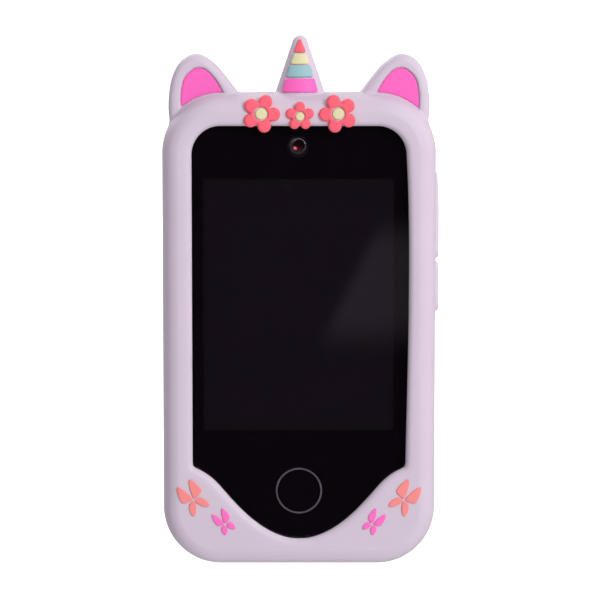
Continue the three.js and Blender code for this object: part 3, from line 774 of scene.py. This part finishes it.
def make_pads():
    """Each skin reaches from the sleeve's wall out to its key's pad, and is attached to no body."""
    for name, (low, high) in PADS.items():
        start = np.array([SKIN_INNER - 1, low[1] - 3, low[2] - 3])
        obj = solid(f"{name}_pad_skin", pad_skin(name), start, high + 3, PITCH["skin"], keep=0.5)
        dress(obj, "lavender", f"{name}_pad", body=None, slot="silicone_lavender")
        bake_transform(obj)


def inlay_face(x, y, z):
    face = meet(inlay_edge(x, z) + INLAY_GAP, INLAY_FRONT - y, INLAY_ROUND)
    return np.maximum(face, y - INLAY_BACK)


def make_inlays():
    for name in ("left", "right"):
        node = f"ear_inlay_{name}"
        low, high = box_mm(node)
        obj = solid(f"{node}_face", inlay_face, low - (1, 1, 8), high + 1, PITCH["inlay"], keep=0.5)
        dress(obj, "pink", node, slot="silicone_pink")


# Name, bottom, top, and half widths at the bottom and the top.
BANDS = [
    ("pink", 108.8, 111.8, 4.05, 3.4),
    ("teal", 112.2, 114.75, 2.98, 2.45),
    ("yellow", 115.1, 117.5, 2.08, 1.4),
    ("coral", 117.75, 120.7, 1.28, 0.32),
]


def make_bands():
    inset = BAND_ROUND
    for name, bottom, top, wide, narrow in BANDS:
        foot, tip = wide - inset, max(narrow - inset, 0.02)
        outline = [
            (HORN_X - foot, bottom + inset), (HORN_X + foot, bottom + inset),
            (HORN_X + tip, top - inset), (HORN_X - tip, top - inset),
        ]
        node = f"horn_band_{name}"
        low, high = box_mm(node)
        obj = solid(f"{node}_relief", band(outline), low - 1, high + 1, PITCH["band"])
        dress(obj, name, node, slot=f"silicone_{name}")


# Size, and the first petal's angle in degrees.
FLOWERS = {"left": (0.985, -3), "middle": (0.74, 18), "right": (0.985, 39)}


def make_flowers():
    for name, (size, turn) in FLOWERS.items():
        x, _, z = middle_mm(f"flower_{name}_centre") - (0, 0, FLOWER_DROP)
        node = f"flower_{name}_petals"
        low, high = box_mm(node)
        start, end = low - 0.7, high + (0.7, 1.8, 0.7)
        obj = solid(f"{node}_relief", flower(x, z, size, turn), start, end, PITCH["petals"])
        dress(obj, "coral", node, slot="silicone_coral")
        node = f"flower_{name}_centre"
        low, high = box_mm(node)
        obj = solid(f"{node}_dome", dot(x, z, DOT_RADIUS * size), low - 0.7, high + 1.3, PITCH["dot"])
        dress(obj, "yellow", node, slot="silicone_yellow")
        inner, outer = DOT_RADIUS * size - COLLAR_LAP, HOLE_RADIUS * size + COLLAR_LAP
        profile = [(inner, COLLAR_BACK), (inner, COLLAR_FRONT), (outer, COLLAR_FRONT), (outer, COLLAR_BACK)]
        dress(turned(f"flower_{name}_collar", profile, (x, 0, z)), "lavender", slot="silicone_lavender")


# Place from the middle and the base, outlines and colour.
BUTTERFLIES = {"big": (24.05, 15.6, BIG_WINGS, "salmon"), "small": (16.85, 9.9, SMALL_WINGS, "rose")}


def make_butterflies():
    for name, (x, z, wings, color) in BUTTERFLIES.items():
        for side_name, side in (("left", -1), ("right", 1)):
            for level, outline in wings.items():
                for half, across in (("inner", -side), ("outer", side)):
                    node = f"butterfly_{name}_{side_name}_{level}_{half}"
                    shape = place_wing(outline, x, z, side, across)
                    low, high = box_mm(node)
                    start, end = low - 0.6, high + (0.6, 2.6, 0.6)
                    obj = solid(f"{node}_relief", wing(shape), start, end, PITCH["wing"])
                    dress(obj, color, node, slot=f"silicone_{color}")


# ---- Lathe-turned details ----


def lift(level, profile):
    """A profile whose levels were counted from this one."""
    return [(radius, level + rise) for radius, rise in profile]


def turned(name, profile, centre, steps=96, upright=False):
    """A closed profile of (radius, level) points turned about a line through centre along Y, or Z."""
    profile = np.array(profile, float)
    radius, level = profile.T
    rings = []
    for angle in np.linspace(0, 2 * np.pi, steps, endpoint=False):
        x, side = centre[0] + radius * math.cos(angle), radius * math.sin(angle)
        ring = [x, centre[1] + side, level] if upright else [x, level, centre[2] + side]
        rings.append(np.stack(ring, 1))
    points = np.vstack(rings)
    count = len(profile)
    faces = []
    for i in range(steps):
        a, b = i * count, ((i + 1) % steps) * count
        for j in range(count):
            k = (j + 1) % count
            faces.append((a + j, a + k, b + k, b + j))
    mesh = bpy.data.meshes.new(name)
    mesh.from_pydata((points * MM).tolist(), [], faces)
    obj = link(mesh, name)
    tidy_mesh(mesh)
    return obj


def tidy_mesh(mesh, angle=40):
    work = bmesh.new()
    work.from_mesh(mesh)
    bmesh.ops.remove_doubles(work, verts=work.verts, dist=1e-7)
    bmesh.ops.dissolve_degenerate(work, edges=work.edges, dist=1e-7)
    bmesh.ops.recalc_face_normals(work, faces=work.faces)
    work.to_mesh(mesh)
    work.free()
    mesh.polygons.foreach_set("use_smooth", [True] * len(mesh.polygons))
    mesh.set_sharp_from_angle(angle=math.radians(angle))


def blocks(name, spans, bevel=0.02):
    """Small boxes with bevelled edges, given as low and high corners, as one object."""
    work = bmesh.new()
    for low, high in spans:
        low, high = np.array(low), np.array(high)
        for vertex in bmesh.ops.create_cube(work, size=1.0)["verts"]:
            vertex.co = ((np.array(vertex.co) + 0.5) * (high - low) + low) * MM
    bmesh.ops.bevel(work, geom=work.edges[:], offset=bevel * MM, segments=1, affect="EDGES")
    mesh = bpy.data.meshes.new(name)
    work.to_mesh(mesh)
    work.free()
    return link(mesh, name)


# ---- Home circle and front camera ----

RING_STROKE = 0.36
# How far the camera's ring and eye stand off the middle of its CAD lens.
FRONT_RING_AT, FRONT_EYE_AT = np.array([-0.33, 0, 0.0]), np.array([0.0, 0, 0.2])
AXIS = 0.001


def make_home_circle():
    low, high = box_mm("home_ring")
    outer = (high[0] - low[0]) / 2
    inner = outer - RING_STROKE
    profile = [(inner, low[1]), (outer, low[1]), (outer, high[1]), (inner, high[1])]
    dress(turned("home_circle", profile, (low + high) / 2, 160), "print", "home_ring", slot="grey_print")


def make_front_camera():
    """A grey ring on a black holder, round a cup with a red-coated lens in it."""
    low, high = box_mm("front_camera")
    eye = middle_mm("front_camera_lens")
    front, back = low[1], high[1]
    ring_at, hole_at = eye + FRONT_RING_AT, eye + FRONT_EYE_AT
    ring = lift(front, [(AXIS, 0.04), (1.8, 0.04), (1.9, 0.12), (1.9, 0.5), (AXIS, 0.5)])
    dress(turned("front_camera_ring", ring, ring_at), "barrel", slot="black_plastic")
    holder = lift(front, [
        (AXIS, 0.45), (2.3, 0.45), (2.4, 0.32), (2.5, 0.26), (2.58, 0.3), (2.64, 0.42), (3.1, 0.6),
    ])
    holder += [(3.1, back), (AXIS, back)]
    obj = turned("front_camera_holder", holder, ring_at)
    dress(obj, "shiny_black", "front_camera", slot="black_plastic")
    cup = lift(front, [(1.2, -0.2), (1.3, -0.25), (1.38, -0.2), (1.38, 0.1), (1.2, 0.1)])
    dress(turned("front_camera_cup", cup, hole_at), "shiny_black", slot="black_plastic")
    dish = [(r, front + 0.02 - 0.16 * r * r) for r in np.linspace(AXIS, 1.22, 9)]
    dish += [(1.22, front + 0.08), (AXIS, front + 0.08)]
    dress(turned("front_camera_eye", dish, hole_at), "red_coat", "front_camera_lens", slot="camera_glass")


# ---- Rear camera and its light ----

SHELL_BACK = box_mm("rear_shell")[1][1]


def make_rear_camera():
    """A clear window in a steel trim, with a stepped baffle and a blue-coated lens behind it."""
    low, high = box_mm("rear_camera_window")
    centre, radius = (low + high) / 2, (high[0] - low[0]) / 2
    back = high[1]
    window = [(AXIS, low[1]), (radius - 0.6, low[1]), (radius - 0.6, back - 0.02), (AXIS, back - 0.02)]
    dress(turned("camera_window", window, centre), "clear", "rear_camera_window", slot="camera_glass")
    trim = [
        (radius - 0.58, low[1]), (radius - 0.58, back - 0.05), (radius - 0.4, back + 0.2),
        (radius - 0.15, back + 0.3), (radius + 0.3, back + 0.3), (radius + 0.55, back + 0.2),
        (radius + 0.6, SHELL_BACK + 0.01), (radius + 0.15, SHELL_BACK), (radius + 0.15, low[1]),
    ]
    dress(turned("camera_trim", trim, centre), "steel", slot="plated_steel")
    face = box_mm("rear_camera")[1][1]
    steps = [(2.95, face)]
    for i in range(4):
        outer, level = 2.8 - 0.36 * i, face - 0.14 * i
        steps += [(outer, level), (outer - 0.1, level - 0.14)]
    cone = [(3.2, face), *steps, (1.3, face - 0.62), (1.3, face - 0.75), (3.2, face - 0.75)]
    dress(turned("camera_baffle", cone, centre), "black", slot="black_plastic")
    eye = [(r, face - 0.5 - 0.12 * r * r) for r in np.linspace(AXIS, 1.45, 9)]
    eye += [(1.45, face - 0.95), (AXIS, face - 0.95)]
    dress(turned("camera_eye", eye, centre), "blue_coat", slot="camera_glass")


def make_flash():
    """A yellow lamp under a lens with rings cut in its face."""
    low, high = box_mm("flash_led")
    centre, radius, back = (low + high) / 2, (high[0] - low[0]) / 2, high[1]
    lamp = [(AXIS, low[1]), (radius, low[1]), (radius, back - 0.45), (AXIS, back - 0.45)]
    dress(turned("flash_lamp", lamp, centre, 64), "lamp", "flash_led", slot="led_yellow")
    rings = [(radius, back - 0.42), (radius, back - 0.1), (radius - 0.1, back)]
    for i in range(4):
        outer = radius - 0.14 - 0.32 * i
        rings += [(outer, back - 0.14), (outer - 0.26, back - 0.02)]
    rings += [(AXIS, back - 0.02), (AXIS, back - 0.42)]
    dress(turned("flash_lens", rings, centre, 64), "clear", slot="clear_acrylic")
    trim = [
        (radius + 0.03, back - 0.6), (radius + 0.03, back + 0.05), (radius + 0.1, back + 0.18),
        (radius + 0.5, back + 0.22), (radius + 0.62, SHELL_BACK + 0.02), (radius + 0.15, SHELL_BACK),
        (radius + 0.15, back - 0.6),
    ]
    dress(turned("flash_trim", trim, centre, 64), "steel", slot="plated_steel")


# ---- Sockets in the base ----

USB_WALL, USB_TONGUE, USB_CONTACTS = 0.35, (3.3, 0.34), 12
USB_FLARE, USB_FLARE_DEPTH = 0.15, 0.3
JACK_BORE, JACK_COLLAR = 1.75, 2.45


def make_usb():
    low, high = box_mm("usb_socket")
    centre, half = (low + high) / 2, (high - low) / 2

    def shell(x, y, z):
        outer = stadium(x - centre[0], y - centre[1], half[0], half[1])
        flare = USB_FLARE * np.exp(-np.maximum(z - low[2], 0) / USB_FLARE_DEPTH)
        inner = stadium(x - centre[0], y - centre[1], half[0] - USB_WALL, half[1] - USB_WALL) - flare
        tube = slab(outer, z, low[2], high[2], 0.12, 0.3)
        return cut(tube, np.maximum(inner, z - high[2] + 1), 0.08)

    def tongue(x, y, z):
        blade = panel(x - centre[0], y - centre[1], *USB_TONGUE, 0.1)
        return slab(blade, z, low[2] + 0.9, high[2] - 0.5, 0.2, 0)

    body = solid("usb_shell", shell, low - 0.5, high + 0.5, PITCH["usb_shell"], keep=0.5)
    dress(body, "steel", "usb_socket", slot="plated_steel")
    inset = np.array([0.8, 0.8, 0])
    blade = solid("usb_tongue", tongue, low + inset, high - inset, PITCH["usb_tongue"], keep=0.5)
    dress(blade, "black", slot="black_plastic")
    strips = []
    for i in range(USB_CONTACTS):
        x = centre[0] + (i - (USB_CONTACTS - 1) / 2) * 0.5
        for side in (-1, 1):
            y = centre[1] + side * USB_TONGUE[1]
            strips.append(((x - 0.13, y - 0.04, low[2] + 1.3), (x + 0.13, y + 0.04, low[2] + 5.2)))
    dress(blocks("usb_contacts", strips), "gold", slot="plated_steel")


def make_jack():
    low, high = box_mm("audio_jack")
    x0, _, _ = jack

    def body(x, y, z):
        block = panel(x - x0, y - JACK_Y, (high[0] - low[0]) / 2, 2.5, 0.4)
        collar = slab(disc(x - x0, y - JACK_Y, JACK_COLLAR), z, low[2], 6, 0.15, 0)
        whole = join(slab(block, z, 5.1, high[2], 0.3, 0.3), collar, 0.2)
        whole = cut(whole, np.maximum(disc(x - x0, y - JACK_Y, JACK_BORE + 0.3), z - low[2] - 0.9), 0.05)
        return cut(whole, np.maximum(disc(x - x0, y - JACK_Y, JACK_BORE), z - high[2] + 1), 0.1)

    block = solid("jack_body", body, low - 0.5, high + 0.5, PITCH["jack"], keep=0.5)
    dress(block, "black", "audio_jack", slot="black_plastic")
    inner, outer = JACK_BORE, JACK_BORE + 0.29
    profile = lift(low[2], [(inner, 0.1), (inner + 0.08, 0.02), (outer, 0.02), (outer, 0.9), (inner, 0.9)])
    ring = turned("jack_ring", profile, (x0, JACK_Y, 0), 64, upright=True)
    dress(ring, "steel", slot="plated_steel")


# ---- Memory card ----

CARD_CONTACTS = 8
# Finger ribs: height, pitch, half length, and where they start and end from the card's outer end.
RIB_HEIGHT, RIB_PITCH, RIB_HALF, RIB_START, RIB_END = 0.05, 0.45, 3, 1.7, 3.4


def make_card():
    """A card with a notched corner, a grip ridge, finger ribs and gold contacts."""
    low, high = box_mm("memory_card")
    end, outer = high[0], low[0]
    shape = Outline([
        (outer, low[2]), (end - 0.8, low[2]), (end, low[2] + 0.8), (end, high[2] - 2),
        (end - 5, high[2] - 1.3), (end - 6.5, high[2]), (outer, high[2]),
    ], margin=1.5, pitch=0.06)
    middle = (low[2] + high[2]) / 2

    def field(x, y, z):
        plate = slab(shape(x, z), y, low[1] + 0.06, high[1] - 0.12, 0.08, 0.08)
        grip = np.maximum(shape(x, z) + 0.04, x - outer - 1.3)
        lip = slab(grip, y, low[1], high[1], 0.12, 0.12)
        ribbed = (x > outer + RIB_START) * (x < outer + RIB_END) * (np.abs(z - middle) < RIB_HALF)
        ribs = RIB_HEIGHT * np.cos((x - outer) * 2 * math.pi / RIB_PITCH) * ribbed
        return join(plate + ribs, lip, 0.1)

    plate = solid("card_plate", field, low - 0.4, high + 0.4, PITCH["card"], keep=0.5)
    dress(plate, "black", "memory_card", body="memory_card", slot="black_plastic")
    strips = []
    for i in range(CARD_CONTACTS):
        z = low[2] + 1.5 + i * 1.1
        strips.append(((end - 3.9, high[1] - 0.15, z - 0.4), (end - 0.9, high[1] - 0.09, z + 0.4)))
    dress(blocks("card_contacts", strips), "gold", body="memory_card", slot="plated_steel")


# ---- CAD nodes that stay, each with its material ----

KEPT = {
    "lens": ["cover_lens"], "ink": ["ink_mask"], "screen": ["display_module"], "amber": ["display_flex"],
    "board": ["main_board"], "foil": ["battery"],
    "housing": ["front_frame", "rear_shell", "volume_key", "power_key"],
    "black": ["speaker", "rear_camera", "volume_up_switch", "volume_down_switch", "power_switch"],
    "steel": [
        "microphone", "card_socket", "screw_top_left", "screw_top_right", "screw_bottom_left",
        "screw_bottom_right",
    ],
}


def keep_nodes():
    for material, names in KEPT.items():
        for name in names:
            dress(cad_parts[name], material, body=None)


# ---- Stage ----

MIDDLE = (0, 0, 0.06)
CAMERA_TARGET = (0.0, 0.0, 0.06073)
CAMERA_DISTANCE, CAMERA_RISE = 0.803, math.radians(7.21)
CAMERA_LENS, CAMERA_SHIFT = 209.65, 0.00167


def make_camera():
    data = bpy.data.cameras.new("camera")
    data.lens, data.sensor_width, data.shift_x = CAMERA_LENS, 36.0, CAMERA_SHIFT
    data.clip_start, data.clip_end = 0.01, 20
    camera = link(data, "camera")
    back = np.array([0.0, -math.cos(CAMERA_RISE), math.sin(CAMERA_RISE)])
    camera.location = np.array(CAMERA_TARGET) + CAMERA_DISTANCE * back
    camera.rotation_euler = (math.pi / 2 - CAMERA_RISE, 0, 0)
    bpy.context.scene.camera = camera


# Azimuth from the front to the right and rise, in degrees, distance, size, power and colour.
LIGHTS = {
    "key": (33, 21, 1.4, 0.75, 14.0, (1, 1, 1)),
    "side_fill": (110, 15, 0.85, 0.5, 1.6, (1.0, 0.97, 0.9)),
    "back_fill": (215, 35, 1.2, 0.7, 7.0, (1, 1, 1)),
}


def around(azimuth, rise, distance):
    """A point about the object's middle."""
    azimuth, rise = math.radians(azimuth), math.radians(rise)
    flat = distance * math.cos(rise)
    return (flat * math.sin(azimuth), -flat * math.cos(azimuth), MIDDLE[2] + distance * math.sin(rise))


def make_lights():
    for name, (azimuth, rise, distance, size, power, color) in LIGHTS.items():
        data = bpy.data.lights.new(name, "AREA")
        data.shape = "DISK"
        data.size, data.energy, data.color = size, power, color
        light = link(data, name)
        light.location = around(azimuth, rise, distance)
        light.rotation_euler = (Vector(MIDDLE) - light.location).to_track_quat("-Z", "Y").to_euler()


# Brightness by height, from 0, straight down, to 1, straight up: as soft light, and as mirrors see it.
WORLD_SOFT = [(0.02, 1.2), (0.5, 0.2), (0.98, 0.7)]
WORLD_MIRRORED = [(0.48, (0.05, 0.033, 0.058)), (0.85, 0.7)]


def height_ramp(nodes, links, height, stops):
    """A grey level or a colour by how far a direction points up."""
    ramp = nodes.new("ShaderNodeValToRGB")
    ramp.color_ramp.interpolation = "EASE"
    elements = ramp.color_ramp.elements
    for i, (position, level) in enumerate(stops):
        element = elements[i] if i < 2 else elements.new(position)
        element.position = position
        element.color = (*level, 1) if isinstance(level, tuple) else (level, level, level, 1)
    links.new(height, ramp.inputs["Fac"])
    return ramp.outputs["Color"]


def make_world():
    """White to look at. Its light comes mostly from above, and mirrors see it dark low down."""
    world = bpy.data.worlds.new("studio")
    bpy.context.scene.world = world
    world.use_nodes = True
    nodes, links = tree(world)
    place = nodes.new("ShaderNodeTexCoord")
    height = ranged(nodes, links, axes(nodes, links, place.outputs["Generated"])["Z"], -1.0, 1.0)
    soft = height_ramp(nodes, links, height, WORLD_SOFT)
    mirrored = height_ramp(nodes, links, height, WORLD_MIRRORED)
    path = nodes.new("ShaderNodeLightPath")
    sharp = nodes.new("ShaderNodeMath")
    sharp.operation = "MAXIMUM"
    links.new(path.outputs["Is Glossy Ray"], sharp.inputs[0])
    links.new(path.outputs["Is Transmission Ray"], sharp.inputs[1])
    seen = mix_color(nodes, links, sharp.outputs["Value"], soft, mirrored)
    seen = mix_color(nodes, links, path.outputs["Is Camera Ray"], seen, (1.0, 1.0, 1.0, 1.0))
    links.new(seen, nodes["Background"].inputs["Color"])


def hide_from(obj, *kinds):
    for kind in kinds:
        setattr(obj, f"visible_{kind}", False)


def make_floor():
    bpy.ops.mesh.primitive_plane_add(size=12, location=(0, 0, -0.00003))
    floor = bpy.context.object
    floor.name = "floor"
    material, shader = principled("pale_floor", (0.9, 0.9, 0.9, 1), 0.9, specular=0.0)
    shader.inputs["Emission Color"].default_value = (1, 1, 1, 1)
    shader.inputs["Emission Strength"].default_value = 0.75
    floor.data.materials.append(material)
    hide_from(floor, "diffuse", "glossy", "transmission")


# A dim panel, in metres: its place and size, and where its glow starts and stops across it.
PANEL_PLACE, PANEL_SIZE = (0.06, -1.4, -0.1), 0.4
PANEL_SLANT, PANEL_GLOW, PANEL_COLOR = math.radians(26), 0.29, (0.92, 0.76, 1.0, 1)
PANEL_EDGE, PANEL_FOOT, PANEL_HEAD = (-0.028, -0.017), (-0.052, -0.022), (0.042, 0.014)


def product(nodes, links, a, b):
    times = nodes.new("ShaderNodeMath")
    times.operation = "MULTIPLY"
    for socket, value in zip(times.inputs, (a, b)):
        if isinstance(value, float):
            socket.default_value = value
        else:
            links.new(value, socket)
    return times.outputs["Value"]


def make_dim_panel():
    """A dim panel far in front that only mirrors show: a soft slanted patch low on the display."""
    bpy.ops.mesh.primitive_plane_add(size=PANEL_SIZE, location=PANEL_PLACE, rotation=(math.pi / 2, 0, 0))
    panel_object = bpy.context.object
    panel_object.name = "dim_panel"
    material = bpy.data.materials.new("dim_panel")
    material.use_nodes = True
    nodes, links = tree(material)
    nodes.clear()
    place = nodes.new("ShaderNodeTexCoord").outputs["Object"]
    turn = nodes.new("ShaderNodeMapping")
    turn.inputs["Rotation"].default_value = (0, 0, PANEL_SLANT)
    links.new(place, turn.inputs["Vector"])
    across, up = axes(nodes, links, turn.outputs["Vector"])["X"], axes(nodes, links, place)["Y"]
    level = PANEL_GLOW
    for value, (start, end) in ((across, PANEL_EDGE), (up, PANEL_FOOT), (up, PANEL_HEAD)):
        level = product(nodes, links, ranged(nodes, links, value, start, end, kind="SMOOTHSTEP"), level)
    glow = nodes.new("ShaderNodeEmission")
    glow.inputs["Color"].default_value = PANEL_COLOR
    links.new(level, glow.inputs["Strength"])
    output = nodes.new("ShaderNodeOutputMaterial")
    links.new(glow.outputs["Emission"], output.inputs["Surface"])
    panel_object.data.materials.append(material)
    hide_from(panel_object, "camera", "diffuse", "transmission", "shadow")


make_camera()
make_world()
make_floor()
make_dim_panel()
make_lights()
bpy.context.scene.view_settings.view_transform = "Standard"

make_sleeve()
make_pads()
make_inlays()
make_bands()
make_flowers()
make_butterflies()
make_home_circle()
make_front_camera()
make_rear_camera()
make_flash()
make_usb()
make_jack()
make_card()
keep_nodes()
